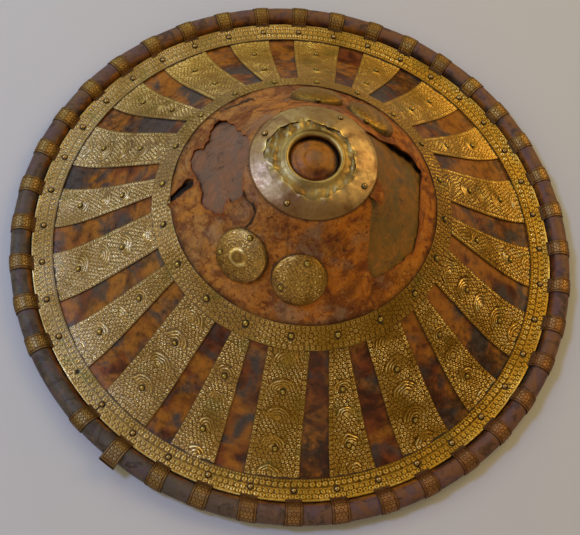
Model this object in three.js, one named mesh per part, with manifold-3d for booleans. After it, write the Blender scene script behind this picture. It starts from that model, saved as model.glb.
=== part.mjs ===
// Round ceremonial shield: a moulded hide dome with a rolled rim, faced with embossed gilt brass.
// It lies on its rim with the dome up. The +Z axis is the shield's own axis, z = 0 is the
// underside of the rim, and sizes are in millimetres. Azimuths are in degrees from +X.
import * as THREE from 'three';
import { mergeVertices } from 'three/addons/utils/BufferGeometryUtils.js';
import Module from 'manifold-3d';

const wasm = await Module();
wasm.setup();

// Driving dimensions
const rimRadius = 250; // outer edge of the rolled rim
const beadRadius = 8.7; // the rolled rim's own section
const beadSides = 10;
const beadStep = 360 / beadSides;
const beadHeight = beadRadius * Math.cos(Math.PI / beadSides); // its flat lowest side is at z = 0
const hideThickness = 5;
const brassSheet = 0.7;
const leatherSheet = 0.9;
const clearance = 0.3; // kept between pieces that lie on each other
const ringSegments = 44;
const crownSegments = 20;

// The front face, as [radius, height]: a flat brim, a hollow curve up from it, a straight
// cone, and a steeper neck that ends at the collar. The bands' upper side lies on this line.
const faceStations = [
  [48.4, 149.0],
  [65, 129.8],
  [85, 108.4],
  [150, 52.6],
  [180, 28.0],
  [192, 19.6],
  [204, 13.0],
  [213.7, 9.8],
  [232.6, 9.4],
];

// Depths of the layers below that line
const stripDepth = brassSheet + clearance;
const leatherDepth = brassSheet + clearance;
const hideDepth = leatherDepth + leatherSheet + clearance;
const insideDepth = hideDepth + hideThickness;

// Bands and strips
const outerBand = { inner: 213.7, outer: 231.7 };
const innerBand = { inner: 109.6, outer: 125.2 };
const innerBandStep = 9; // degrees to a facet
const pairCount = 10; // pairs of one wide and one narrow strip
const wideAzimuth = 276.3;
const narrowAzimuth = 258.3;
const stripEnds = { inner: 119.5, outer: 219 };
const widthRadii = { inner: 125, outer: 213 }; // where the strips' widths are stated
const wideWidth = { inner: 32.9, outer: 45.1 };
const narrowWidth = { inner: 15.9, outer: 39.0 };

// Clips that fold over the rim, one beside each rivet of the outer band
const clipCount = 40;
const clipStep = 360 / clipCount;
const clipAzimuth = 2.2;
const clipWidth = 15;
const clipClearance = 1.3;
const clipThickness = 0.9;
const missingClip = 25;
const looseClip = 27;
const looseClipReach = 256;
const looseClipDroop = 3;
const seamClips = [10, 14, 26, 34]; // the outer band's pieces meet just past these clips

// Discs over the grip's fixings
const discRadius = 21;
const discRise = 6.5;
const discEdge = 0.6;
const discSkirt = 6; // carried into the face before the disc is cut to lie on it
const discSegments = 12;
const discCentreRadius = 82;
const discAzimuths = [242.5, 276.5, 96.5, 62.5];

// Grip strap across the inside
const gripAzimuth = 79.5;
const gripWidth = 30;
const gripThickness = 4;

const degrees = THREE.MathUtils.degToRad;

// Geometry helpers

// Shared vertices merged, collapsed triangles dropped, and faces turned to point out.
function closed(geometry) {
  const bare = new THREE.BufferGeometry();
  bare.setAttribute('position', geometry.getAttribute('position').clone());
  if (geometry.index) bare.setIndex(geometry.index.clone());
  const merged = mergeVertices(bare, 1e-4);
  const corners = merged.index.array;
  const kept = [];
  for (let i = 0; i < corners.length; i += 3) {
    const [a, b, c] = [corners[i], corners[i + 1], corners[i + 2]];
    if (a !== b && b !== c && c !== a) kept.push(a, b, c);
  }
  const position = merged.getAttribute('position');
  const points = kept.map((k) => new THREE.Vector3().fromBufferAttribute(position, k));
  let volume = 0;
  for (let i = 0; i < points.length; i += 3) {
    volume += points[i].dot(new THREE.Vector3().crossVectors(points[i + 1], points[i + 2]));
  }
  if (volume < 0) kept.reverse();
  merged.setIndex(kept);
  return merged;
}

function toManifold(geometry) {
  const solid = closed(geometry);
  const vertProperties = new Float32Array(solid.getAttribute('position').array);
  const triVerts = new Uint32Array(solid.index.array);
  return new wasm.Manifold(new wasm.Mesh({ numProp: 3, vertProperties, triVerts }));
}

function fromManifold(manifold) {
  const mesh = manifold.getMesh();
  const geometry = new THREE.BufferGeometry();
  geometry.setAttribute('position', new THREE.BufferAttribute(mesh.vertProperties, 3));
  geometry.setIndex(new THREE.BufferAttribute(mesh.triVerts, 1));
  return geometry;
}

// A closed [radius, height] outline turned about the Z axis.
function turned(outline, segments = ringSegments) {
  const points = outline.map(([r, z]) => new THREE.Vector2(r, z));
  const touchesAxis = outline[0][0] === 0;
  if (!touchesAxis) points.push(points[0].clone());
  const lathe = new THREE.LatheGeometry(points, segments);
  lathe.rotateX(Math.PI / 2);
  return closed(lathe);
}

// The face line moved inwards by a depth, square to the surface.
function faceLine(depth) {
  const line = faceStations.map(([r, z]) => new THREE.Vector2(r, z));
  const normals = [];
  for (let i = 0; i + 1 < line.length; i += 1) {
    const run = line[i + 1].clone().sub(line[i]).normalize();
    normals.push(new THREE.Vector2(-run.y, run.x));
  }
  return line.map((point, i) => {
    const before = normals[Math.max(i - 1, 0)];
    const after = normals[Math.min(i, normals.length - 1)];
    const middle = before.clone().add(after).normalize();
    const shift = depth / middle.dot(after);
    return [point.x - middle.x * shift, point.y - middle.y * shift];
  });
}

// The point of a layer that lies under a given radius of the face line.
function layerPoint(radius, depth) {
  const line = faceLine(depth);
  let i = 0;
  while (i < faceStations.length - 2 && radius > faceStations[i + 1][0]) i += 1;
  const span = faceStations[i + 1][0] - faceStations[i][0];
  const t = (radius - faceStations[i][0]) / span;
  return [
    THREE.MathUtils.lerp(line[i][0], line[i + 1][0], t),
    THREE.MathUtils.lerp(line[i][1], line[i + 1][1], t),
  ];
}

// The radii of a layer's facets between two ends: the ends and the stations between them.
function facetRadii(inner, outer) {
  const least = 0.5;
  const stations = faceStations.map(([r]) => r);
  return [inner, ...stations.filter((r) => r > inner + least && r < outer - least), outer];
}

// A thin sheet that follows the face line between two radii and two edges, each edge an
// azimuth for every radius.
function sheetPatch({ inner, outer, edges, steps, depth, thickness }) {
  const radii = facetRadii(inner, outer);
  const position = [];
  const index = [];
  const columns = steps + 1;
  for (const layerDepth of [depth, depth + thickness]) {
    for (const radius of radii) {
      const [r, z] = layerPoint(radius, layerDepth);
      const [start, end] = edges(radius);
      for (let j = 0; j < columns; j += 1) {
        const azimuth = degrees(start + ((end - start) * j) / steps);
        position.push(r * Math.cos(azimuth), r * Math.sin(azimuth), z);
      }
    }
  }
  const at = (side, i, j) => side * radii.length * columns + i * columns + j;
  const face = (a, b, c, d) => index.push(a, b, c, a, c, d);
  const last = radii.length - 1;
  for (let i = 0; i < last; i += 1) {
    for (let j = 0; j < steps; j += 1) {
      face(at(0, i, j), at(0, i + 1, j), at(0, i + 1, j + 1), at(0, i, j + 1));
      face(at(1, i, j), at(1, i, j + 1), at(1, i + 1, j + 1), at(1, i + 1, j));
    }
    face(at(0, i, 0), at(1, i, 0), at(1, i + 1, 0), at(0, i + 1, 0));
    face(at(0, i, steps), at(0, i + 1, steps), at(1, i + 1, steps), at(1, i, steps));
  }
  for (let j = 0; j < steps; j += 1) {
    face(at(0, 0, j), at(0, 0, j + 1), at(1, 0, j + 1), at(1, 0, j));
    face(at(0, last, j), at(1, last, j), at(1, last, j + 1), at(0, last, j + 1));
  }
  const geometry = new THREE.BufferGeometry();
  geometry.setAttribute('position', new THREE.Float32BufferAttribute(position, 3));
  geometry.setIndex(index);
  return closed(geometry);
}

// An outline in the upright plane through an azimuth, given a width across that plane.
function uprightBar(outline, width, azimuth) {
  const shape = new THREE.Shape(outline.map(([r, z]) => new THREE.Vector2(r, z)));
  const bar = new THREE.ExtrudeGeometry(shape, { depth: width, bevelEnabled: false });
  bar.rotateX(Math.PI / 2);
  bar.translate(0, width / 2, 0);
  bar.rotateZ(degrees(azimuth));
  return closed(bar);
}

// Hide body: dome, rolled rim and the small knob at the top, moulded as one

const knob = [
  [0, 156.5],
  [7.5, 155.7],
  [15.8, 152.0],
  [17.2, 149.8],
];
const shoulder = [
  [20, 149.6],
  [34, 150.9],
  [43.6, 148.5],
];
const innerCrown = [
  [42.4, 142.6],
  [30, 144.6],
  [0, 145.2],
];

// A point of the rim's section: turns run from 180 on its inner side, over the top, to 0 outside.
function beadPoint(turn, radius = beadRadius) {
  const across = radius * Math.cos(degrees(turn));
  const up = radius * Math.sin(degrees(turn));
  return [rimRadius - beadRadius + across, beadHeight + up];
}

function hideBody() {
  const front = faceLine(hideDepth).slice(0, -1);
  const lastTurn = -3 * beadStep;
  const bead = [];
  for (let turn = 180; turn >= lastTurn; turn -= beadStep) bead.push(beadPoint(turn));
  const line = faceLine(insideDepth);
  const inside = [7, 5, 3, 2, 1].map((station) => line[station]);
  return turned([...knob, ...shoulder, ...front, ...bead, ...inside, ...innerCrown]);
}

// Leather facing of the crown, torn away in two places

const leatherOuter = 118;
const leatherTears = [
  // left: from the collar out to the cone, as [radius, azimuth]
  [
    [46, 158], [64, 161], [74, 155], [85, 150], [93, 154], [95, 160], [89, 167], [94, 172],
    [101, 174], [98, 179], [92, 185], [88, 190], [83, 195], [86, 202], [84, 207], [79, 213],
    [69, 212], [57, 219], [46, 212],
  ],
  // right: from the collar out to the inner band
  [
    [46, 338], [52, 340], [66, 326], [80, 319], [92, 320], [94, 332], [98, 344], [92, 358],
    [91, 15], [96, 24], [88, 30], [76, 33], [62, 43], [46, 44],
  ],
];

function leatherFacing() {
  const top = (r) => layerPoint(r, leatherDepth);
  const under = (r) => layerPoint(r, leatherDepth + leatherSheet);
  const neck = { top: [44.5, 149.5], under: [44.3, 148.8] };
  const upper = [neck.top, top(48.4), top(65), top(85), top(leatherOuter)];
  const lower = [under(leatherOuter), under(85), under(65), under(48.4), neck.under];
  let leather = toManifold(turned([...upper, ...lower]));
  for (const tear of leatherTears) {
    const corners = tear.map(([r, azimuth]) => {
      return new THREE.Vector2(r * Math.cos(degrees(azimuth)), r * Math.sin(degrees(azimuth)));
    });
    const cutter = new THREE.ExtrudeGeometry(new THREE.Shape(corners), {
      depth: rimRadius,
      bevelEnabled: false,
    });
    leather = leather.subtract(toManifold(cutter));
  }
  return fromManifold(leather);
}

// Brass strips, tapered, tucked under both bands

function strip(azimuth, width) {
  const halfAngle = (radius) => {
    const t = (radius - widthRadii.inner) / (widthRadii.outer - widthRadii.inner);
    const across = THREE.MathUtils.lerp(width.inner, width.outer, t);
    return THREE.MathUtils.radToDeg(Math.asin(across / 2 / radius));
  };
  return sheetPatch({
    inner: stripEnds.inner,
    outer: stripEnds.outer,
    edges: (radius) => [azimuth - halfAngle(radius), azimuth + halfAngle(radius)],
    steps: 2,
    depth: stripDepth,
    thickness: brassSheet,
  });
}

// Bands, each in pieces that meet with a fine gap

function bandPiece({ inner, outer }, start, end, stepAngle) {
  const slit = THREE.MathUtils.radToDeg(clearance / outer);
  return sheetPatch({
    inner,
    outer,
    edges: () => [start + slit, end - slit],
    steps: Math.round((end - start) / stepAngle),
    depth: 0,
    thickness: brassSheet,
  });
}

// A clip folded from the band's edge over the rim, or left standing straight out.
function rimClip(number) {
  const azimuth = clipAzimuth + number * clipStep;
  const low = beadRadius + clipClearance;
  const high = low + clipThickness;
  const wrap = (radius) => {
    const over = [180, 135, 90].map((turn) => beadPoint(turn, radius));
    const folded = [45, 0].map((turn) => beadPoint(turn, radius));
    const straight = [[looseClipReach, beadPoint(90, radius)[1] - looseClipDroop]];
    return [...over, ...(number === looseClip ? straight : folded)];
  };
  return uprightBar([...wrap(high), ...wrap(low).reverse()], clipWidth, azimuth);
}

function outerBandPiece(piece) {
  const first = seamClips[piece];
  const following = seamClips[(piece + 1) % seamClips.length];
  const last = following > first ? following : following + clipCount;
  const seam = (clip) => clipAzimuth + (clip + 0.25) * clipStep;
  let band = toManifold(bandPiece(outerBand, seam(first), seam(last), clipStep));
  for (let clip = first + 1; clip <= last; clip += 1) {
    const number = clip % clipCount;
    if (number !== missingClip) band = band.add(toManifold(rimClip(number)));
  }
  return fromManifold(band);
}

// Collar round the crown and the gilt ring inside it

const collarTop = [
  [48.4, 149.0],
  [45, 150.7],
  [41, 152.3],
  [37, 153.5],
  [33, 154.3],
];
const collarUnder = [
  [32.9, 153.6],
  [36.9, 152.8],
  [40.8, 151.6],
  [44.7, 150.0],
  [47.9, 148.55],
];
const ringTop = [
  [35.4, 152.6],
  [30, 152.2],
  [26.5, 152.7],
  [22.6, 155.4],
  [20.6, 155.8],
  [18.8, 153.8],
];
const ringUnder = [
  [19.5, 153.4],
  [20.9, 155.0],
  [22.3, 154.7],
  [26.2, 152.0],
  [30, 151.5],
  [35.3, 151.9],
];

// Domed discs, cut to lie on the leather

function disc(azimuth) {
  const section = [
    [0, discRise],
    [discRadius * 0.45, discRise * 0.82],
    [discRadius * 0.8, discRise * 0.4],
    [discRadius, discEdge],
    [discRadius, -discSkirt],
    [0, -discSkirt],
  ];
  const dome = turned(section, discSegments);
  const [r, z] = layerPoint(discCentreRadius, leatherDepth);
  const [nearR, nearZ] = layerPoint(discCentreRadius - 1, leatherDepth);
  dome.rotateY(Math.atan2(nearZ - z, r - nearR));
  dome.translate(r, 0, z);
  dome.rotateZ(degrees(azimuth));
  const radii = [50, 65, 85, 125];
  const cover = radii.map((radius) => layerPoint(radius, leatherDepth - clearance));
  const ground = turned([...cover, [radii.at(-1), 0], [radii[0], 0]]);
  return fromManifold(toManifold(dome).subtract(toManifold(ground)));
}

// Grip: one thick hide strap bowed across the inside, its ends flat on the cone

function grip() {
  // its upper side from one end to the middle, as [distance from the axis, height]
  const half = [
    [106.8, 77.8],
    [83.0, 98.2],
    [77.0, 100.4],
    [60.0, 99.2],
    [30.0, 96.4],
  ];
  const mirrored = half.map(([y, z]) => [-y, z]).reverse();
  const upper = [...half, [0, 95.6], ...mirrored];
  const lower = upper.map(([y, z], i) => {
    const before = upper[Math.max(i - 1, 0)];
    const after = upper[Math.min(i + 1, upper.length - 1)];
    const run = new THREE.Vector2(after[0] - before[0], after[1] - before[1]).normalize();
    return [y - run.y * gripThickness, z + run.x * gripThickness];
  });
  return uprightBar([...upper, ...lower.reverse()], gripWidth, gripAzimuth);
}

// Materials, and the group of named pieces

function material(color, roughness, metalness) {
  return new THREE.MeshStandardMaterial({ color, roughness, metalness });
}

const group = new THREE.Group();

function addPiece(name, geometry, finish) {
  const mesh = new THREE.Mesh(geometry, finish);
  mesh.name = name;
  group.add(mesh);
}

const gold = { color: 0xa07a30, roughness: 0.4 };
const paleGold = { color: 0x98793a, roughness: 0.4 };
const brass = ({ color, roughness }) => material(color, roughness, 1);

addPiece('hide_body', hideBody(), material(0x4a3526, 0.55, 0));
addPiece('leather_facing', leatherFacing(), material(0x8a5026, 0.7, 0));
seamClips.forEach((clip, piece) => {
  addPiece(`outer_band_${piece + 1}`, outerBandPiece(piece), brass(gold));
});
[1, 2].forEach((piece) => {
  const start = wideAzimuth + 36 + (piece - 1) * 180;
  const half = bandPiece(innerBand, start, start + 180, innerBandStep);
  addPiece(`inner_band_${piece}`, half, brass(paleGold));
});
for (let pair = 0; pair < pairCount; pair += 1) {
  const shift = (pair * 360) / pairCount;
  addPiece(`wide_strip_${pair + 1}`, strip(wideAzimuth + shift, wideWidth), brass(paleGold));
  addPiece(`narrow_strip_${pair + 1}`, strip(narrowAzimuth + shift, narrowWidth), brass(paleGold));
}
const collar = turned([...collarTop, ...collarUnder], crownSegments);
const crownRing = turned([...ringTop, ...ringUnder], crownSegments);
addPiece('collar', collar, material(0x7d6238, 0.38, 1));
addPiece('crown_ring', crownRing, material(0x9a7426, 0.35, 1));
discAzimuths.forEach((azimuth, i) => {
  addPiece(`disc_${i + 1}`, disc(azimuth), brass(paleGold));
});
addPiece('grip', grip(), material(0x3a2a1e, 0.7, 0));

export default group;
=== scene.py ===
import math
from functools import partial
import bpy
import numpy as np
from mathutils import Matrix, Vector


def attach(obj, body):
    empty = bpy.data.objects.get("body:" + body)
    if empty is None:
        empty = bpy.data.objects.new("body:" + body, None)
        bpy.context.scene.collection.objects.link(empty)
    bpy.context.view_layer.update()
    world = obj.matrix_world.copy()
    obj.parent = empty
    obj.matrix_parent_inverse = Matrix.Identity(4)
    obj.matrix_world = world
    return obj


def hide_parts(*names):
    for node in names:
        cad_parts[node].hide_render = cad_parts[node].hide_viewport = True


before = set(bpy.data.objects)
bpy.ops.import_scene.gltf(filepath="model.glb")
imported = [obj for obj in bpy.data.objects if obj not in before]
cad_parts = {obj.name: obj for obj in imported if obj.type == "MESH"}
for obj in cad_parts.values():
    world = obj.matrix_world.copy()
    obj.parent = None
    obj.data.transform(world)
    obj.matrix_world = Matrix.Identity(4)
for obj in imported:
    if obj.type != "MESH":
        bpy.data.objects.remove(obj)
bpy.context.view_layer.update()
scene = bpy.context.scene
mm = 0.001

# Small tools


def linear(hexColour):
    parts = [int(hexColour[i:i + 2], 16) / 255 for i in (1, 3, 5)]
    toLinear = [c / 12.92 if c <= 0.04045 else ((c + 0.055) / 1.055) ** 2.4 for c in parts]
    return (*toLinear, 1.0)


def clearSelection():
    if bpy.context.object and bpy.context.object.mode != "OBJECT":
        bpy.ops.object.mode_set(mode="OBJECT")
    bpy.ops.object.select_all(action="DESELECT")


def makeActive(piece):
    clearSelection()
    piece.select_set(True)
    bpy.context.view_layer.objects.active = piece


def readPoints(piece):
    points = np.empty(len(piece.data.vertices) * 3)
    piece.data.vertices.foreach_get("co", points)
    return points.reshape(-1, 3)


def writePoints(piece, points):
    piece.data.vertices.foreach_set("co", np.ascontiguousarray(points, dtype=np.float32).ravel())
    piece.data.update()


def writeValue(piece, name, values):
    layer = piece.data.attributes.get(name) or piece.data.attributes.new(name, "FLOAT", "POINT")
    layer.data.foreach_set("value", np.ascontiguousarray(values, dtype=np.float32))


def finish(piece, material, nodes=(), smoothAngle=60):
    makeActive(piece)
    bpy.ops.object.shade_smooth_by_angle(angle=math.radians(smoothAngle))
    piece.data.materials.clear()
    piece.data.materials.append(material)
    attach(piece, "root")
    if nodes:
        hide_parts(*nodes)
    return piece


def joined(name, pieces):
    clearSelection()
    for piece in pieces:
        piece.select_set(True)
    bpy.context.view_layer.objects.active = pieces[0]
    bpy.ops.object.join()
    pieces[0].name = name
    return pieces[0]


def gridNamed(name, columns, rows):
    clearSelection()
    bpy.ops.mesh.primitive_grid_add(x_subdivisions=columns, y_subdivisions=rows, size=1)
    bpy.context.object.name = name
    return bpy.context.object


def mendMesh(threshold):
    # in edit mode: closes seams and turns every face outwards
    bpy.ops.mesh.select_all(action="SELECT")
    bpy.ops.mesh.remove_doubles(threshold=threshold)
    bpy.ops.mesh.normals_make_consistent(inside=False)
    bpy.ops.object.mode_set(mode="OBJECT")


def pieceFrom(name, mesh):
    piece = bpy.data.objects.new(name, mesh)
    scene.collection.objects.link(piece)
    return piece


def meshFrom(name, verts, edges, faces):
    mesh = bpy.data.meshes.new(name)
    mesh.from_pydata(verts, edges, faces)
    return pieceFrom(name, mesh)


def thicken(piece, thickness, offset=-1):
    thick = piece.modifiers.new("thickness", "SOLIDIFY")
    thick.thickness = thickness * mm
    thick.offset = offset
    bpy.ops.object.modifier_apply(modifier="thickness")


def lengthAlong(path):
    return np.concatenate([[0], np.cumsum(np.hypot(*np.diff(path, axis=0).T))])


def upwardNormals(path):
    # at right angles to a path of radius and height, on the side that is up at its middle
    run = np.gradient(path, axis=0)
    run /= np.hypot(run[:, 0], run[:, 1])[:, None]
    normal = np.stack([-run[:, 1], run[:, 0]], axis=-1)
    return normal if normal[len(normal) // 2, 1] > 0 else -normal


def fanAndRings(rings, sides):
    # faces of a round cap: a fan from point 0, then rings of four-sided faces
    faces = [(0, 1 + j, 1 + (j + 1) % sides) for j in range(sides)]
    for a in range(1, 1 + (rings - 1) * sides, sides):
        b = a + sides
        faces += [(a + j, b + j, b + (j + 1) % sides, a + (j + 1) % sides) for j in range(sides)]
    return faces


def smoothStep(low, high, x):
    t = np.clip((x - low) / (high - low), 0, 1)
    return t * t * (3 - 2 * t)


def softNoise(x, y, scale, seed, z=0):
    # a sum of a few turned waves, for dents and warps wider than a few millimetres
    waves = np.random.default_rng(seed)
    total = np.zeros_like(x, dtype=float)
    for _ in range(9):
        way = waves.normal(size=3)
        way /= np.linalg.norm(way)
        length = scale * waves.uniform(0.6, 1.7)
        total += np.sin((x * way[0] + y * way[1] + z * way[2]) * 2 * np.pi / length + waves.uniform(0, 6.3))
    return total / 3.2


# The front face as radius and height in millimetres, the same stations as the solids

faceStations = [
    (33.0, 154.3), (41.0, 152.3), (48.4, 149.0), (65.0, 129.8), (85.0, 108.4), (117.0, 80.7), (150.0, 52.6),
    (180.0, 28.0), (192.0, 19.6), (204.0, 13.0), (213.7, 9.8), (223.0, 9.3), (232.6, 9.4), (236.0, 9.4),
]


def smoothFace():
    # a curve through the stations whose slopes never overshoot
    r, z = np.array(faceStations).T
    run = np.diff(r)
    rise = np.diff(z) / run
    slope = np.zeros(len(r))
    slope[0], slope[-1] = rise[0], rise[-1]
    for i in range(1, len(r) - 1):
        if rise[i - 1] * rise[i] > 0:
            a, b = 2 * run[i] + run[i - 1], run[i] + 2 * run[i - 1]
            slope[i] = (a + b) / (a / rise[i - 1] + b / rise[i])
    dense = np.linspace(r[0], r[-1], 1200)
    k = np.clip(np.searchsorted(r, dense) - 1, 0, len(r) - 2)
    t = (dense - r[k]) / run[k]
    h00, h10 = 2 * t**3 - 3 * t**2 + 1, t**3 - 2 * t**2 + t
    h01, h11 = -2 * t**3 + 3 * t**2, t**3 - t**2
    height = h00 * z[k] + h10 * run[k] * slope[k] + h01 * z[k + 1] + h11 * run[k] * slope[k + 1]
    return dense, height, np.gradient(height, dense)


faceR, faceZ, faceSlope = smoothFace()
faceArc = lengthAlong(np.stack([faceR, faceZ], axis=-1))


def sectionPoint(r, depth):
    # radius and height, in millimetres, of a layer that lies a depth below the face
    slope = np.interp(r, faceR, faceSlope)
    length = np.hypot(slope, 1)
    return r + depth * slope / length, np.interp(r, faceR, faceZ) - depth / length


def onFace(r, azimuth, depth):
    radius, height = sectionPoint(r, depth)
    turn = np.radians(azimuth)
    return np.stack([radius * np.cos(turn), radius * np.sin(turn), height], axis=-1) * mm


def faceGap(r, azimuth, otherR, otherAzimuth):
    # how far points of the face are from one place on it, in millimetres
    turn = np.mod(azimuth - otherAzimuth + 180, 360) - 180
    return np.hypot(r - otherR, np.radians(turn) * r)


def alongFace(r):
    return np.interp(r, faceR, faceArc)


def radiusAt(arc):
    return np.interp(arc, faceArc, faceR)


# Punched and embossed marks, as heights in millimetres


def ridge(distance, width):
    return np.exp(-((distance / width) ** 2))


def dome(distance, radius):
    return np.sqrt(np.clip(1 - (distance / radius) ** 2, 0, 1))


def inStep(along, pitch):
    return (along / pitch - np.floor(along / pitch) - 0.5) * pitch


def beadRow(along, across, pitch, radius):
    return dome(np.hypot(inStep(along, pitch), across), radius)


def ringRow(along, across, pitch, radius, line):
    return ridge(np.hypot(inStep(along, pitch), across) - radius, line)


def ringRows(along, across, rows):
    relief = np.zeros_like(along)
    for height, shift, pitch, offset, radius, line in rows:
        relief = np.maximum(relief, height * ringRow(along + shift, across - offset, pitch, radius, line))
    return relief


def inRows(along, across, pitch):
    # distance to the nearest of the marks punched in staggered rows
    row = pitch * 0.866 * 2
    best = np.full_like(along, 1e9)
    for shift in (0.0, 0.5):
        nearAlong = (np.round(along / row - shift) + shift) * row
        nearAcross = (np.round(across / pitch - shift) + shift) * pitch
        best = np.minimum(best, np.hypot(along - nearAlong, across - nearAcross))
    return best


def crescents(along, across, pitch, reach, gap, line):
    # nests of arcs round small bosses, one above the other, open to the outer end
    fromCentre = along - np.round(along / pitch) * pitch
    distance = np.hypot(fromCentre, across)
    heading = np.arctan2(np.abs(across), -fromCentre)
    inward = 1 - smoothStep(1.30, 1.60, heading)
    count = np.maximum(np.round(distance / gap), 1)
    arcs = ridge(distance - count * gap, line) * (count * gap <= reach) * inward
    cover = inward * (distance < reach + gap * 0.5)
    boss = dome(distance, 2.0)
    return np.maximum(arcs, boss), np.maximum(cover, distance < 2.6)


# Materials

noiseSockets = ("Vector", "Scale", "Detail", "Roughness", "Distortion")
colourMix = {"output": 2, "data_type": "RGBA"}
smooth = {"interpolation_type": "SMOOTHSTEP"}


def addNode(tree, kind, inputs=None, output=0, **settings):
    # adds one node, sets it, links or fills its inputs, and gives back one of its outputs
    node = tree.nodes.new("ShaderNode" + kind)
    for name, value in settings.items():
        setattr(node, name, value)
    for name, value in (inputs or {}).items():
        if isinstance(value, bpy.types.NodeSocket):
            tree.links.new(value, node.inputs[name])
        else:
            node.inputs[name].default_value = linear(value) if isinstance(value, str) else value
    return node.outputs[output] if node.outputs else node


def startMaterial(name):
    material = bpy.data.materials.new(name)
    material.use_nodes = True
    material.node_tree.nodes.clear()
    add = partial(addNode, material.node_tree)
    return material, add, add("TexCoord", output="Object")


def layered(add, colour, layers):
    # lays each colour on the last one where its value goes from low to high, at most to its share
    for value, low, high, most, over in layers:
        share = add("MapRange", {0: value, 1: low, 2: high, 4: most}, **smooth)
        colour = add("Mix", {0: share, 6: colour, 7: over}, **colourMix)
    return colour


def embossedBrass(name, crest, mid, recessDirtAndShade, paintedLeftLight, paintedBackLight):
    # low-zinc brass sheet, punched from behind and gilded: worn bright on the crests, brown dirt and painted shade in
    # the recesses, painted paler and greyer toward the left for the light from that side, and painted yellower at the
    # back for the brighter reflection there
    material, add, place = startMaterial(name)
    relief, dirtAndShade = (add("Attribute", output="Fac", attribute_name=which) for which in ("relief", "dirtAndShade"))
    patches, grain, verdigris = (add("TexNoise", dict(zip(noiseSockets, row))) for row in (
        (place, 1 / 0.045, 5.0, 0.62), (place, 1 / 0.0028, 4.0, 0.75), (place, 1 / 0.020, 3.0, 0.5)))
    toRight, toBack = (add("SeparateXYZ", {0: place}, axis) for axis in "XY")
    # painted light from the left: the sheet turns paler and greyer toward that side
    leftLightEdge = add("Math", {0: patches, 1: 0.16, 2: toRight}, operation="MULTIPLY_ADD")
    level = add("Math", {0: grain, 1: 0.9, 2: relief}, operation="MULTIPLY_ADD")
    # the recess colour is dirt with painted shade in the hollows; the crest colour is wear
    colour = layered(add, recessDirtAndShade, [
        (level, 0.35, 0.85, 1.0, mid), (level, 0.90, 1.40, 1.0, crest), (leftLightEdge, 0.16, -0.16, paintedLeftLight, "#b8a68c"),
        # painted reflection: yellower and brighter toward the back
        (toBack, 0.04, 0.18, paintedBackLight, "#f2bc5c"), (verdigris, 0.55, 0.72, 0.4, "#747038"),
        (patches, 0.42, 0.66, 0.5, "#85601c"),
    ])
    colour = add("Mix", {0: dirtAndShade, 6: colour, 7: "#2c1b0c"}, **colourMix)
    recessed = add("MapRange", {0: relief, 1: 0.1, 2: 0.9, 3: 0.16, 4: 0.0}, **smooth)
    clouded = add("MapRange", {0: patches, 1: 0.3, 2: 0.7, 3: 0.25, 4: 0.39}, **smooth)
    rough = add("Math", {0: recessed, 1: clouded})
    rough = add("Math", {0: dirtAndShade, 1: 0.3, 2: rough}, operation="MULTIPLY_ADD")
    metal = add("Math", {0: dirtAndShade, 1: -0.85, 2: 1.0}, operation="MULTIPLY_ADD")
    normal = add("Bump", {"Height": grain, "Strength": 0.7, "Distance": 0.0006})
    surface = add("BsdfPrincipled", {
        "Base Color": colour, "Roughness": rough, "Metallic": metal, "Normal": normal})
    add("OutputMaterial", {"Surface": surface})
    return material


bandBrass = embossedBrass("GildedEmbossedBrassSheet", "#ffe096", "#c29436", "#583812", 0.36, 0.10)
stripBrass = embossedBrass("TarnishedEmbossedBrassSheet", "#ffe09a", "#b68638", "#482c0e", 0.50, 0.55)


def smoothBrass(name, light, dark, stain, rough):
    # plain hammered brass sheet, handled smooth, with brown tarnish clouds, and painted browner on the side toward
    # the viewer as a painted reflection
    material, add, place = startMaterial(name)
    clouds, fine, lumps = (add("TexNoise", dict(zip(noiseSockets, row))) for row in (
        (place, 1 / 0.03, 5.0, 0.6, 0.6), (place, 1 / 0.004, 5.0, 0.65), (place, 1 / 0.009, 3.0, 0.5)))
    # painted reflection: the side toward the viewer is browner
    toBack = add("SeparateXYZ", {0: place}, "Y")
    colour = layered(add, dark, [
        (clouds, 0.34, 0.62, 1.0, light), (fine, 0.52, 0.72, 0.55, stain), (toBack, -0.020, -0.046, 0.6, "#855626"),
    ])
    # painted highlight on torn edges and crumple crests, then dirt with painted shade
    for which, over in (("edgeHighlight", "#f0d080"), ("dirtAndShade", "#20130a")):
        share = add("Attribute", output="Fac", attribute_name=which)
        colour = add("Mix", {0: share, 6: colour, 7: over}, **colourMix)
    both = add("Math", {0: clouds, 1: fine})
    gloss = add("MapRange", {0: both, 1: 0.7, 2: 1.3, 3: rough - 0.06, 4: rough + 0.14}, **smooth)
    low = add("Bump", {"Height": lumps, "Strength": 0.28, "Distance": 0.0012})
    normal = add("Bump", {"Height": fine, "Strength": 0.25, "Distance": 0.0003, "Normal": low})
    surface = add("BsdfPrincipled", {"Base Color": colour, "Roughness": gloss, "Metallic": 1.0, "Normal": normal})
    add("OutputMaterial", {"Surface": surface})
    return material


collarBrass = smoothBrass("TarnishedBrassCollarSheet", "#b8986e", "#8a664c", "#78522e", 0.38)
giltBrass = smoothBrass("WornGiltBrassRing", "#ae925c", "#876a42", "#74542e", 0.42)


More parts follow.
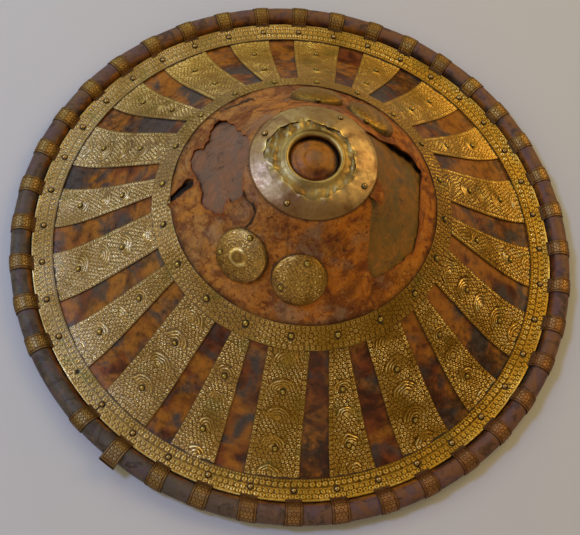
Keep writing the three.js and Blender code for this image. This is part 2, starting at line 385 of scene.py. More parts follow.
def copperyClips():
    # copper-rich brass, rubbed on the rim until it browned; dirt and painted shade in the recesses, and painted light
    # making it redder to the right and lighter at the back
    material, add, place = startMaterial("BrownedCopperyBrassClips")
    relief, dirtAndShade = (add("Attribute", output="Fac", attribute_name=which) for which in ("relief", "dirtAndShade"))
    patches, grain = (add("TexNoise", dict(zip(noiseSockets, row))) for row in (
        (place, 1 / 0.03, 4.0, 0.6), (place, 1 / 0.003, 4.0, 0.7)))
    toRight, toBack = (add("SeparateXYZ", {0: place}, axis) for axis in "XY")
    level = add("Math", {0: grain, 1: 0.5, 2: relief}, operation="MULTIPLY_ADD")
    # painted light: redder to the right and lighter at the back
    mid = layered(add, "#86693e", [(toRight, -0.10, 0.14, 1.0, "#94603a"), (toBack, -0.10, 0.24, 1.0, "#a0783a")])
    crest = layered(add, "#dcbc86", [(toBack, -0.10, 0.24, 1.0, "#e4c078")])
    # the base colour in the recesses is dirt with painted shade
    colour = layered(add, "#4e3320", [
        (level, 0.20, 0.65, 1.0, mid), (level, 0.75, 1.25, 1.0, crest), (patches, 0.42, 0.62, 0.55, "#6c4a2c"),
    ])
    colour = add("Mix", {0: dirtAndShade, 6: colour, 7: "#1c0f08"}, **colourMix)
    rough = add("MapRange", {0: relief, 1: 0.1, 2: 0.9, 3: 0.58, 4: 0.38}, **smooth)
    normal = add("Bump", {"Height": grain, "Strength": 0.35, "Distance": 0.0004})
    surface = add("BsdfPrincipled", {"Base Color": colour, "Roughness": rough, "Metallic": 0.9, "Normal": normal})
    add("OutputMaterial", {"Surface": surface})
    return material


clipBrass = copperyClips()


def oldHide():
    # dense dried hide, dyed and burnished: it is glossy and mottled like tortoiseshell between the strips, dull and
    # greyish where the facing has gone, and nearly black with a purple tinge on the rolled rim; bare hide and rim are
    # painted greyer to the left and warmer to the right, the rim lighter at the back, as painted light
    material, add, place = startMaterial("BurnishedDriedHide")
    warm, cold, dark, bare, rim, dirtAndShade = (add("Attribute", output="Fac", attribute_name=which) for which in (
        "warm", "cold", "dark", "bare", "rim", "dirtAndShade"))
    aside, beyond = (add("VectorMath", {0: place, 1: shift}) for shift in ((0.31, 0.17, 0.23), (0.67, 0.41, 0.52)))
    clouds, drops, fine, flames, smoke, streaks, blots = (add("TexNoise", dict(zip(noiseSockets, row))) for row in (
        (place, 1 / 0.020, 5.0, 0.60, 0.8), (place, 1 / 0.006, 5.0, 0.65), (place, 1 / 0.0016, 3.0, 0.7),
        (aside, 1 / 0.027, 4.0, 0.52, 0.5), (beyond, 1 / 0.027, 4.0, 0.52, 0.5), (aside, 1 / 0.011, 6.0, 0.72, 1.4),
        (aside, 1 / 0.012, 6.0, 0.75, 0.8)))
    orange, slate, black = (add("Math", {0: value, 1: gain, 2: pattern}, operation="MULTIPLY_ADD") for
                            value, gain, pattern in ((warm, 0.30, flames), (cold, 0.30, smoke), (dark, 0.35, drops)))
    colour = layered(add, "#451806", [
        (clouds, 0.38, 0.62, 1.0, "#7a3812"), (orange, 0.54, 0.76, 0.95, "#a4621a"),
        (slate, 0.54, 0.72, 0.95, "#463c3a"), (black, 0.50, 0.92, 0.9, "#28120a"),
    ])
    toRight, toBack = (add("SeparateXYZ", {0: place}, axis) for axis in "XY")
    # painted light: each bare-hide colour is greyer to the left and warmer to the right
    dun, rusty, specks, ochre = (layered(add, left, [(toRight, -0.03, 0.05, 1.0, right)]) for left, right in (
        ("#745644", "#6c5222"), ("#86583c", "#8c5a1c"), ("#6c5a56", "#5c4a28"), ("#9a624a", "#aa6622")))
    bareColour = layered(add, dun, [
        (clouds, 0.36, 0.66, 1.0, rusty), (drops, 0.50, 0.70, 0.35, specks), (streaks, 0.46, 0.34, 0.75, "#503020"),
        (streaks, 0.53, 0.66, 0.75, ochre),
    ])
    # painted light: the rim is warmer to the right and lighter at the back
    rimColour = layered(add, "#50453e", [
        (toRight, -0.10, 0.16, 1.0, "#744830"), (toBack, -0.08, 0.20, 0.8, "#7c4e2a"),
        (clouds, 0.46, 0.62, 0.75, "#594048"), (drops, 0.50, 0.70, 0.4, "#7c5a44"),
        (blots, 0.50, 0.60, 0.65, "#2e2019"),
    ])
    for share, over in ((bare, bareColour), (rim, rimColour), (dirtAndShade, "#1a0d06")):
        colour = add("Mix", {0: share, 6: colour, 7: over}, **colourMix)
    gloss = add("MapRange", {0: clouds, 1: 0.3, 2: 0.7, 3: 0.36, 4: 0.52}, **smooth)
    for share in (bare, rim):
        gloss = add("Math", {0: share, 1: 0.1, 2: gloss}, operation="MULTIPLY_ADD")
    low = add("Bump", {"Height": drops, "Strength": 0.30, "Distance": 0.0006})
    normal = add("Bump", {"Height": fine, "Strength": 0.25, "Distance": 0.00025, "Normal": low})
    surface = add("BsdfPrincipled", {
        "Base Color": colour, "Roughness": gloss, "Specular IOR Level": 0.28, "Normal": normal})
    add("OutputMaterial", {"Surface": surface})
    return material


hideSkin = oldHide()


def tornFacing():
    # thin vegetable-tanned leather, orange-brown, dried out and scuffed; torn edges are paler and fibrous; painted
    # light makes it greyer to the left and more orange to the right
    material, add, place = startMaterial("DryOrangeBrownLeather")
    torn, warm, faded, dirtAndShade = (add("Attribute", output="Fac", attribute_name=which) for which in (
        "torn", "warm", "faded", "dirtAndShade"))
    aside = add("VectorMath", {0: place, 1: (0.31, 0.17, 0.23)})
    clouds, spots, fine, stains, bleached, flecks, deep, grime = (
        add("TexNoise", dict(zip(noiseSockets, row))) for row in (
            (place, 1 / 0.028, 6.0, 0.6, 0.5), (place, 1 / 0.007, 5.0, 0.7, 0.4), (place, 1 / 0.0014, 3.0, 0.7),
            (aside, 1 / 0.016, 5.0, 0.65, 0.6), (aside, 1 / 0.030, 4.0, 0.6), (aside, 1 / 0.0026, 4.0, 0.7, 0.8),
            (aside, 1 / 0.024, 7.0, 0.72, 1.6), (place, 1 / 0.0045, 5.0, 0.75)))
    toRight = add("SeparateXYZ", {0: place}, "X")
    # painted light: greyer to the left, more orange to the right
    worn, stained = (layered(add, left, [(toRight, -0.09, 0.03, 1.0, right)]) for left, right in (
        ("#a66f38", "#b66616"), ("#80502a", "#7a3e0a")))
    bright = add("Math", {0: warm, 1: 0.35, 2: spots}, operation="MULTIPLY_ADD")
    colour = layered(add, stained, [
        (clouds, 0.41, 0.59, 1.0, worn), (bright, 0.56, 0.86, 0.85, "#bc7420"), (stains, 0.50, 0.64, 0.75, "#642a0a"),
        (bleached, 0.52, 0.70, 0.55, "#92765a"),
    ])
    most = add("Math", {0: faded, 1: 0.7}, operation="MULTIPLY")
    colour = add("Mix", {0: most, 6: colour, 7: "#96745a"}, **colourMix)
    colour = layered(add, colour, [
        (flecks, 0.54, 0.66, 0.55, "#5c2608"), (flecks, 0.44, 0.34, 0.45, "#c08a4c"),
        (deep, 0.52, 0.60, 0.6, "#642808"), (grime, 0.57, 0.66, 0.75, "#3a1a08"),
    ])
    for share, over in ((torn, "#8a4212"), (dirtAndShade, "#1e0e06")):
        colour = add("Mix", {0: share, 6: colour, 7: over}, **colourMix)
    rough = add("MapRange", {0: clouds, 1: 0.3, 2: 0.7, 3: 0.50, 4: 0.68}, **smooth)
    low = add("Bump", {"Height": spots, "Strength": 0.7, "Distance": 0.0012})
    normal = add("Bump", {"Height": fine, "Strength": 0.3, "Distance": 0.0003, "Normal": low})
    surface = add("BsdfPrincipled", {
        "Base Color": colour, "Roughness": rough, "Specular IOR Level": 0.2, "Normal": normal})
    add("OutputMaterial", {"Surface": surface})
    return material


facingLeather = tornFacing()


def plainGrip():
    # thick harness leather, unseen from the front, dark and matt from handling
    material, add, place = startMaterial("DarkHarnessLeather")
    clouds, fine = (add("TexNoise", dict(zip(noiseSockets, row))) for row in (
        (place, 1 / 0.02, 5.0, 0.6), (place, 1 / 0.0018, 4.0, 0.7)))
    colour = layered(add, "#2b1a10", [(clouds, 0.35, 0.65, 1.0, "#4a3120")])
    rough = add("MapRange", {0: clouds, 1: 0.3, 2: 0.7, 3: 0.55, 4: 0.72}, **smooth)
    normal = add("Bump", {"Height": fine, "Strength": 0.4, "Distance": 0.0004})
    surface = add("BsdfPrincipled", {"Base Color": colour, "Roughness": rough, "Normal": normal})
    add("OutputMaterial", {"Surface": surface})
    return material


gripLeather = plainGrip()


def rivetMetal(name, seat, side, head):
    # small brass rivets, their heads polished by wear, the seat at their foot darkened as painted shade
    material, add, place = startMaterial(name)
    relief = add("Attribute", output="Fac", attribute_name="relief")
    spots = add("TexNoise", dict(zip(noiseSockets, (place, 1 / 0.004, 3.0, 0.6))))
    colour = layered(add, seat, [
        (relief, 0.1, 0.5, 1.0, side), (relief, 0.6, 0.95, 1.0, head), (spots, 0.5, 0.7, 0.5, side)])
    rough = add("MapRange", {0: relief, 1: 0.2, 2: 0.9, 3: 0.50, 4: 0.36}, **smooth)
    surface = add("BsdfPrincipled", {"Base Color": colour, "Roughness": rough, "Metallic": 0.95})
    add("OutputMaterial", {"Surface": surface})
    return material


rivetBrass = rivetMetal("WornBrassRivetHeads", "#24170d", "#745a34", "#ac8a58")
rivetGold = rivetMetal("DullGiltRivetHeads", "#33260f", "#7e6430", "#b8984c")
print("materials made")

# Layout shared by the pieces, in millimetres and degrees

layout = {
    "stripDepth": 1.0, "leatherDepth": 1.0, "hideDepth": 2.2, "insideDepth": 7.2, "sheet": 0.7,
    "outerBand": (213.7, 231.7), "innerBand": (109.6, 125.2), "stripEnds": (119.5, 219.0),
    "wideAzimuth": 276.3, "narrowAzimuth": 258.3, "wideWidth": (32.9, 45.1), "narrowWidth": (15.9, 39.0),
    "widthRadii": (125.0, 213.0), "beadCentre": (241.3, 8.27), "beadRadius": 8.7,
    "clipCount": 40, "pairCount": 10,
    "clipStart": 2.2, "missingClip": 25, "looseClip": 27, "outerRivets": 223.0, "innerRivets": 117.0,
    "stripRivets": (192.5, 153.5), "collarEdge": 48.9,
}
clipAzimuths = [layout["clipStart"] + 360 / layout["clipCount"] * k for k in range(layout["clipCount"])]
pairTurns = [360 / layout["pairCount"] * k for k in range(layout["pairCount"])]
outerRivets = [(layout["outerRivets"], a) for k, a in enumerate(clipAzimuths) if k != layout["missingClip"]]
stripRivets = [(r, layout[way] + turn) for r in layout["stripRivets"] for turn in pairTurns
               for way in ("wideAzimuth", "narrowAzimuth")]
innerRivets = [(layout["innerRivets"], 276.4 + 18 * k) for k in range(20)]
collarRivets = [(43.0, 253 + 90 * k) for k in range(4)]
discRivets = [(72.0, 242.1), (91.0, 233.6), (74.2, 279.4), (90.5, 267.9), (68.0, 96.8), (67.5, 60.2)]


def dirtAndShadeRound(r, azimuth, rivets, reach=3.0):
    # dirt and painted shade round the rivet heads
    dirtAndShade = np.zeros_like(r)
    for spot in rivets:
        dirtAndShade = np.maximum(dirtAndShade, 1 - smoothStep(reach * 0.75, reach * 1.15, faceGap(r, azimuth, *spot)))
    return dirtAndShade


# Hide body: one profile spun round the axis, then dented and toned

hide = {
    "steps": 400, "lump": 0.14, "smallLump": 0.105, "beadLump": 0.1575,
    "pits": [(209.0, 158.0), (208.0, 181.0)], "pitDepth": 1.4, "groove": 232.6,
    # painted shadow below the leather's raised edges
    "underTears": [(108, 195), (103, 192.5), (98, 191), (93, 191), (75, 39), (82, 36.5), (89, 34), (96, 28)],
    # each tone's usual strength, and the panels between strips, counted clockwise from the back, where
    # it is stronger at the inner end or at the outer one
    "tones": {
        "warm": (0.50, (6, 7, 8, 13), (3, 4, 14, 17, 18, 19)),
        "cold": (0.17, (2, 17, 18, 19), (7, 16)),
        "dark": (0.28, (), (2, 7, 8, 10, 17)),
    },
}


def spunProfile(name, profile, steps):
    edges = [(i, i + 1) for i in range(len(profile) - 1)]
    piece = meshFrom(name, [(r * mm, 0, z * mm) for r, z in profile], edges, [])
    makeActive(piece)
    bpy.ops.object.mode_set(mode="EDIT")
    bpy.ops.mesh.select_all(action="SELECT")
    bpy.ops.mesh.spin(steps=steps, angle=2 * math.pi, center=(0, 0, 0), axis=(0, 0, 1))
    mendMesh(1e-6)
    return piece


def pathThrough(points, spacing):
    # even points along a broken line
    path = np.array(points, dtype=float)
    arc = lengthAlong(path)
    count = max(2, int(round(arc[-1] / spacing)) + 1)
    even = np.linspace(0, arc[-1], count)
    return [(np.interp(s, arc, path[:, 0]), np.interp(s, arc, path[:, 1])) for s in even]


def beadArc(radius, start, end, count):
    centreR, centreZ = layout["beadCentre"]
    turns = np.radians(np.linspace(start, end, count))
    return [(centreR + radius * math.cos(t), centreZ + radius * math.sin(t)) for t in turns]


def makeHide():
    front, inside = ([tuple(float(v) for v in sectionPoint(r, layout[depth])) for r in np.arange(*radii)]
                     for depth, radii in (("hideDepth", (48.4, 232.2, 1.6)), ("insideDepth", (232.0, 47.0, -4.0))))
    crown = pathThrough([(0, 149.0), (20, 149.2), (34, 150.6), (43.6, 148.4), front[0]], 2.2)[:-1]
    bead = beadArc(layout["beadRadius"], 176, -118, 46)
    inner = pathThrough([inside[-1], (42.4, 142.6), (30, 144.6), (0, 145.2)], 4.0)[1:]
    piece = spunProfile("hideBody", crown + front + bead + inside + inner, hide["steps"])

    points = readPoints(piece) / mm
    x, y, z = points.T
    r, azimuth = np.hypot(x, y), np.degrees(np.arctan2(y, x)) % 360
    outside = z > np.interp(r, faceR, faceZ) - 4.5
    onBead = smoothStep(231, 235, r)
    lump = softNoise(x, y, 60, 3, z) * hide["lump"] + softNoise(x, y, 26, 4, z) * hide["smallLump"]
    beadLump = softNoise(x, y, 34, 5, z * 2) * hide["beadLump"] - hide["beadLump"]
    centreR, centreZ = layout["beadCentre"]
    awayR, awayZ = r - centreR, z - centreZ
    away = np.maximum(np.hypot(awayR, awayZ), 1e-6)
    offFloor = smoothStep(1.0, 4.0, z)
    moveR = onBead * beadLump * awayR / away * offFloor
    moveZ = onBead * beadLump * awayZ / away * offFloor
    moveZ = moveZ - (1 - onBead) * np.abs(lump) * outside * smoothStep(49, 60, r) * 0.6
    pits = np.zeros_like(r)
    for pit in hide["pits"]:
        pits = np.maximum(pits, 1 - smoothStep(0.6, 2.2, faceGap(r, azimuth, *pit)))
    moveZ = moveZ - pits * hide["pitDepth"] * outside
    radial = np.stack([np.cos(np.radians(azimuth)), np.sin(np.radians(azimuth)), np.zeros_like(r)], axis=-1)
    points = points + radial * moveR[:, None]
    points[:, 2] += moveZ
    writePoints(piece, points * mm)

    panel = np.mod((105 - azimuth) / 18 + 0.5, 20).astype(int)
    out = smoothStep(140, 200, r + softNoise(x, y, 30, 8, z) * 9)

    def tone(name):
        usual, strongIn, strongOut = hide["tones"][name]
        shake = np.random.default_rng(len(strongOut)).uniform(-0.12, 0.12, (2, 20))
        inner = usual + shake[0] + 0.38 * np.isin(np.arange(20), strongIn)
        outer = usual + shake[1] + 0.38 * np.isin(np.arange(20), strongOut)
        return (inner[panel] * (1 - out) + outer[panel] * out) * (outside | (r > 231))

    bare = (1 - smoothStep(117, 121, r)) * outside
    writeValue(piece, "warm", tone("warm"))
    writeValue(piece, "cold", tone("cold"))
    writeValue(piece, "dark", np.where(outside, tone("dark"), 0.45))
    writeValue(piece, "bare", bare)
    writeValue(piece, "rim", smoothStep(233.5, 236.5, r))
    # painted shade in the groove below the bead, painted shadow below the raised leather edges, and the pits darkened
    groove = ridge(r - hide["groove"], 1.6) * 0.55 * (z < 14) * (z > 4)
    underTearShadow = np.zeros_like(r)
    for spot in hide["underTears"]:
        underTearShadow = np.maximum(underTearShadow, 1 - smoothStep(3, 6, faceGap(r, azimuth, *spot)))
    writeValue(piece, "dirtAndShade", np.maximum.reduce([pits * outside, groove, underTearShadow * outside]))
    return finish(piece, hideSkin, ["hide_body"])


makeHide()
print("hide body made")

# Knob on the crown: turned rings round a small nub

knob = {
    "profile": [(19.6, 150.2), (18.2, 151.4), (17.2, 151.6), (16.6, 152.0), (15.4, 152.9), (13.9, 153.2),
                (12.6, 153.4), (11.0, 154.3), (8.8, 155.2), (7.4, 155.3), (6.6, 155.1), (5.6, 155.4),
                (4.2, 155.8), (2.6, 156.3), (0, 156.5)],
    "step": 0.55, "steps": 96, "offCentre": (-0.7, -0.8),
}


def makeKnob():
    piece = spunProfile("knob", pathThrough(knob["profile"], knob["step"]), knob["steps"])
    points = readPoints(piece) / mm
    x, y, z = points.T
    r = np.hypot(x, y)
    points[:, 2] += softNoise(x, y, 14, 21, z) * 0.15 - 0.2
    away = smoothStep(18.5, 16.5, r)
    points[:, 0] += knob["offCentre"][0] * away
    points[:, 1] += knob["offCentre"][1] * away
    writePoints(piece, points * mm)
    writeValue(piece, "warm", 0.8 + 0 * r)
    nub = 1 - smoothStep(1.0, 9.0, np.hypot(x - 0.6, y))
    writeValue(piece, "cold", nub * 0.3)
    writeValue(piece, "dark", 0.35 * ridge(r - 6.8, 0.8) + 0.4 * ridge(r - 13.2, 0.9))
    writeValue(piece, "bare", nub * 0.75)
    writeValue(piece, "rim", 0 * r)
    # painted shadow in the gap under the crown ring's lip, strongest toward the back and right
    gap = smoothStep(16.6, 17.4, r) * (0.35 + 0.6 * smoothStep(-4, 8, x * 0.6 + y * 0.8))
    writeValue(piece, "dirtAndShade", gap)
    return finish(piece, hideSkin)


makeKnob()
print("knob made")

# Leather facing: a sheet laid on the cone, torn open in three places, its torn edges lifted

discs = {
    "radius": 22.2, "rise": 7.0, "thickness": 0.6, "skirt": 3.2, "farShare": 0.5, "centre": 82.0,
    "azimuths": [242.5, 276.5, 96.5, 62.5],
    "rings": 60, "sides": 180,
}
facing = {
    "inner": 45.0, "outer": 118.0, "rows": 92, "columns": 520, "thickness": 0.55,
    # where torn edges stand up: how high, then radius, azimuth and reach
    "curls": [(4.6, 90, 35, 12), (3.2, 76, 38, 8), (2.4, 98, 22, 7), (2.2, 59, 220, 6), (1.6, 74, 216, 6),
              (2.0, 95, 152, 8), (2.6, 108, 197, 6), (2.6, 97, 188, 7), (1.0, 98, 342, 7), (2.4, 55, 346, 7),
              (1.6, 88, 191, 5)],
    "seam": [(56, 262), (75, 268), (110, 273)],
}
tears = [
    [(88.6, 149.8), (77.7, 153), (62.4, 163), (54.2, 168), (51.5, 175), (50.6, 188), (52.8, 197), (54.8, 208),
     (58.3, 219), (62.9, 216.3), (67.2, 214), (68.2, 210.3), (71.7, 213.7), (74, 217), (78.9, 214), (84.2, 208),
     (86.3, 204), (84.5, 198), (85, 193), (89.3, 189), (95.5, 181), (98.3, 176.5), (99.4, 171.5), (92.1, 170),
     (90.7, 164.7), (95, 159.5), (96.1, 154.6), (94.2, 151.5)],
    [(46, 336.5), (51, 337.5), (56, 335.5), (66.5, 324), (80, 316), (91, 316), (94, 324), (95, 335), (98.4, 344),
     (94.6, 357), (92.4, 11), (98, 26), (88, 33.5), (76, 38.5), (69, 41), (62, 44), (52, 48), (46, 46), (46, 6),
     (50.5, 358), (58.5, 350), (58.5, 341), (52, 340), (46, 339.5)],
    [(111.5, 196.2), (109, 193.6), (104.4, 191.6), (99.8, 189.6), (94.6, 188.2), (90.4, 189), (89, 192.3),
     (93.6, 193.4), (100.2, 194.6), (106.4, 196.8), (110, 198)],
]
cracks = [
    # path, how dark its painted shade is, how far its edge is raised
    ([(103.7, 142.2), (102.8, 139.7), (100.9, 137.6), (100.7, 135.4), (100.8, 133.4), (99.2, 132.6),
      (101.3, 130.3), (99.9, 129.1), (93.6, 129.5)], 1.0, 0.15),
    ([(113.5, 146.5), (110.2, 145.1), (104.5, 144.2)], 0.8, 0.1),
    ([(57.5, 217), (58.5, 222), (57.3, 228), (58.8, 234), (63.4, 235.7), (68.9, 234.8)], 1.0, 1.1),
    ([(96, 25), (101, 22), (104, 24)], 0.8, 0.8),
    ([(95, 316), (101, 311), (108, 312)], 0.6, 0.5),
    ([(60, 300), (66, 296), (70, 299)], 0.35, 0.2),
    ([(100, 225), (104, 221), (109, 222)], 0.4, 0.3),
    ([(113, 153), (110, 150.5), (103, 150), (96.5, 152.5)], 0.7, 0.3),
]


def flat(r, azimuth):
    return np.stack([r * np.cos(np.radians(azimuth)), r * np.sin(np.radians(azimuth))], axis=-1)


def flatPath(places):
    return flat(*np.array(places, dtype=float).T)


def distanceToPath(points, path, closedPath):
    ends = np.roll(path, -1, axis=0) if closedPath else path[1:]
    starts = path if closedPath else path[:-1]
    best = np.full(len(points), 1e9)
    away = np.zeros_like(points)
    for a, b in zip(starts, ends):
        run = b - a
        t = np.clip(((points - a) @ run) / (run @ run), 0, 1)
        gap = points - (a + t[:, None] * run)
        distance = np.hypot(gap[:, 0], gap[:, 1])
        closer = distance < best
        best = np.where(closer, distance, best)
        away[closer] = gap[closer]
    return best, away


def insidePath(points, path):
    inside = np.zeros(len(points), dtype=bool)
    x, y = points.T
    for (ax, ay), (bx, by) in zip(path, np.roll(path, -1, axis=0)):
        if ay == by:
            continue
        crosses = (ay > y) != (by > y)
        inside ^= crosses & (x < (bx - ax) * (y - ay) / (by - ay) + ax)
    return inside


def raggedPath(corners, amount, seed):
    # a torn edge wanders between its corners
    path = flatPath(corners)
    closedPath = np.vstack([path, path[:1]])
    arc = lengthAlong(closedPath)
    even = np.arange(0, arc[-1], 1.3)
    x, y = np.interp(even, arc, closedPath[:, 0]), np.interp(even, arc, closedPath[:, 1])
    wander = np.random.default_rng(seed)
    kernel = np.array([1, 2, 3, 2, 1]) / 9
    shakeX = np.convolve(wander.normal(size=len(x)), kernel, "same") * amount
    shakeY = np.convolve(wander.normal(size=len(x)), kernel, "same") * amount
    return np.stack([x + shakeX, y + shakeY], axis=-1)


tearPaths = [raggedPath(corners, amount, 40 + k) for k, (corners, amount) in enumerate(zip(tears, (1.3, 0.7, 1.6)))]


def makeFacing():
    piece = gridNamed("leatherFacing", facing["columns"], facing["rows"])
    unit = readPoints(piece)
    u, v = unit[:, 0] + 0.5, unit[:, 1] + 0.5
    arcIn, arcOut = alongFace(facing["inner"]), alongFace(facing["outer"])
    r = radiusAt(arcIn + v * (arcOut - arcIn))
    azimuth = u * 360
    plan = flat(r, azimuth)

    distance = np.full(len(plan), 1e9)
    away = np.zeros_like(plan)
    within = np.zeros(len(plan), dtype=bool)
    for path in tearPaths:
        gap, direction = distanceToPath(plan, path, True)
        inside = insidePath(plan, path)
        closer = gap < distance
        distance = np.where(closer, gap, distance)
        away[closer] = direction[closer]
        within |= inside
    signed = np.where(within, -distance, distance)

    # faces wholly in a tear go, and the points left in it are drawn back to its edge
    makeActive(piece)
    corners = np.array([list(p.vertices) for p in piece.data.polygons])
    gone = (signed[corners] < 0).sum(axis=1) >= 3
    used = np.zeros(len(plan), dtype=bool)
    used[corners[~gone].ravel()] = True
    snap = used & (signed < 0.45)
    plan[snap] -= away[snap]
    r2, azimuth2 = np.hypot(plan[:, 0], plan[:, 1]), np.degrees(np.arctan2(plan[:, 1], plan[:, 0]))
    r = np.where(snap, r2, r)
    azimuth = np.where(snap, azimuth2, azimuth)
    signed = np.where(snap, 0.0, signed)

    x, y = flat(r, azimuth).T
    az = np.mod(azimuth, 360)
    edgeWave = 0.5 + 0.5 * softNoise(x, y, 22, 31)
    curlHeight = 0.15 + 0.5 * np.clip(edgeWave, 0, 1)

    def near(centreR, centreA, reach):
        centre = flat(centreR, centreA)
        return ridge(np.hypot(x - centre[0], y - centre[1]), reach)

    for height, *spot in facing["curls"]:
        curlHeight = curlHeight + height * near(*spot)
    lift = curlHeight * np.exp(-np.maximum(signed, 0) / 3.4)
    bulge = softNoise(x, y, 42, 33) * 0.5 + softNoise(x, y, 17, 34) * 0.22
    dirtAndShade = np.zeros_like(r)
    # painted shade along each crack
    for path, strength, raised in cracks:
        gap, _ = distanceToPath(np.stack([x, y], axis=-1), flatPath(path), False)
        wide = 1.1 + 0.5 * softNoise(x, y, 7, 36)
        lift = lift - 0.9 * ridge(gap, 1.1) * raised + raised * ridge(gap - 2.7, 1.4)
        wide = np.clip(wide * (1.5 if raised < 0.2 else 1.0), 0.5, 2.0)
        dirtAndShade = np.maximum(dirtAndShade, ridge(gap, wide) * strength)
    settle = smoothStep(facing["outer"], facing["outer"] - 9, r) * smoothStep(48.6, 52, r)
    for discA in discs["azimuths"]:
        centre = flat(discs["centre"], discA)
        settle = settle * smoothStep(22, 29, np.hypot(x - centre[0], y - centre[1]))
    height = np.maximum((bulge + lift) * settle, -0.45)
    depth = layout["leatherDepth"] - height
    writePoints(piece, onFace(r, azimuth, depth))

    seam, _ = distanceToPath(np.stack([x, y], axis=-1), flatPath(facing["seam"]), False)
    seamSide = ridge(seam, 1.2) * 0.35
    warm = 0.42 + 0.25 * softNoise(x, y, 60, 35) + 0.35 * near(100, 200, 26) + 0.3 * near(60, 355, 14)
    warm = warm - 0.45 * smoothStep(262, 268, az) * (1 - smoothStep(300, 330, az)) + 0.25 * near(100, 250, 20)
    writeValue(piece, "warm", warm)
    sound = np.maximum(near(52, 185, 20), near(70, 328, 22))
    writeValue(piece, "torn", np.exp(-np.maximum(signed, 0) / 1.1) * 0.8 * (1 - sound))
    writeValue(piece, "faded", np.clip(near(52, 190, 17) + 0.6 * near(60, 226, 12) + 0.5 * near(56, 150, 12), 0, 1))
    # dirt with painted shade where the leather meets the inner band and goes under the collar; the seam gets a dark
    # line
    nearBand = smoothStep(105.5, 109.6, r) * 0.5
    nearCollar = (1 - smoothStep(48.6, 51.5, r)) * 0.8
    writeValue(piece, "dirtAndShade", np.maximum.reduce([dirtAndShade, seamSide, nearBand, nearCollar]))

    mesh = piece.data
    bpy.context.tool_settings.mesh_select_mode = (False, False, True)
    mesh.vertices.foreach_set("select", np.zeros(len(mesh.vertices), dtype=bool))
    mesh.edges.foreach_set("select", np.zeros(len(mesh.edges), dtype=bool))
    mesh.polygons.foreach_set("select", gone)
    bpy.ops.object.mode_set(mode="EDIT")
    bpy.ops.mesh.delete(type="FACE")
    mendMesh(2e-5)
    thicken(piece, facing["thickness"])
    return finish(piece, facingLeather, ["leather_facing"], 70)


makeFacing()
print("leather facing made")

# Unit sheets: a grid thickened by extrusion, whose upper side alone is cut fine, formed later


def unitSheet(name, columns, rows):
    sheet = gridNamed(name, columns // 4, rows // 4)
    bpy.ops.object.mode_set(mode="EDIT")
    bpy.ops.mesh.select_all(action="SELECT")
    bpy.ops.mesh.extrude_region_move(TRANSFORM_OT_translate={"value": (0, 0, 1)})
    bpy.ops.mesh.subdivide(number_cuts=3)
    bpy.ops.mesh.select_all(action="SELECT")
    bpy.ops.mesh.normals_make_consistent(inside=False)
    bpy.ops.object.mode_set(mode="OBJECT")
    return sheet


def formedSheet(name, unit, place, thickness):
    # place gives each point's radius, azimuth, depth, height of relief, and its dirt with painted shade
    piece = pieceFrom(name, unit.data.copy())
    points = readPoints(piece)
    u, v, top = points[:, 0] + 0.5, points[:, 1] + 0.5, points[:, 2] > 0.5
    r, azimuth, depth, relief, dirtAndShade = place(u, v)
    depth = np.where(top, depth - relief, depth + thickness)
    writePoints(piece, onFace(r, azimuth, depth))
    writeValue(piece, "relief", np.where(top, np.clip(relief / 0.85, 0, 1), 0.0))
    # the underside and cut edges are darkened as painted shade
    writeValue(piece, "dirtAndShade", np.where(top, dirtAndShade, 0.8))
    return piece


def edgeShade(distance, reach=0.7):
    # dirt and painted shade along a sheet's cut edge
    return 1 - smoothStep(0.15, reach, distance)


# Brass strips

strips = {
    "wide": {"cells": (84, 232), "azimuth": layout["wideAzimuth"], "width": layout["wideWidth"],
             "rings": (2.3, 4.3, 1.15, 0.46), "reach": 11.0},
    "narrow": {"cells": (64, 232), "azimuth": layout["narrowAzimuth"], "width": layout["narrowWidth"],
               "rings": (2.1, 4.0, 1.05, 0.44), "reach": 8.0},
}


def widthAt(r, width):
    t = (r - layout["widthRadii"][0]) / (layout["widthRadii"][1] - layout["widthRadii"][0])
    return width[0] + (width[1] - width[0]) * t


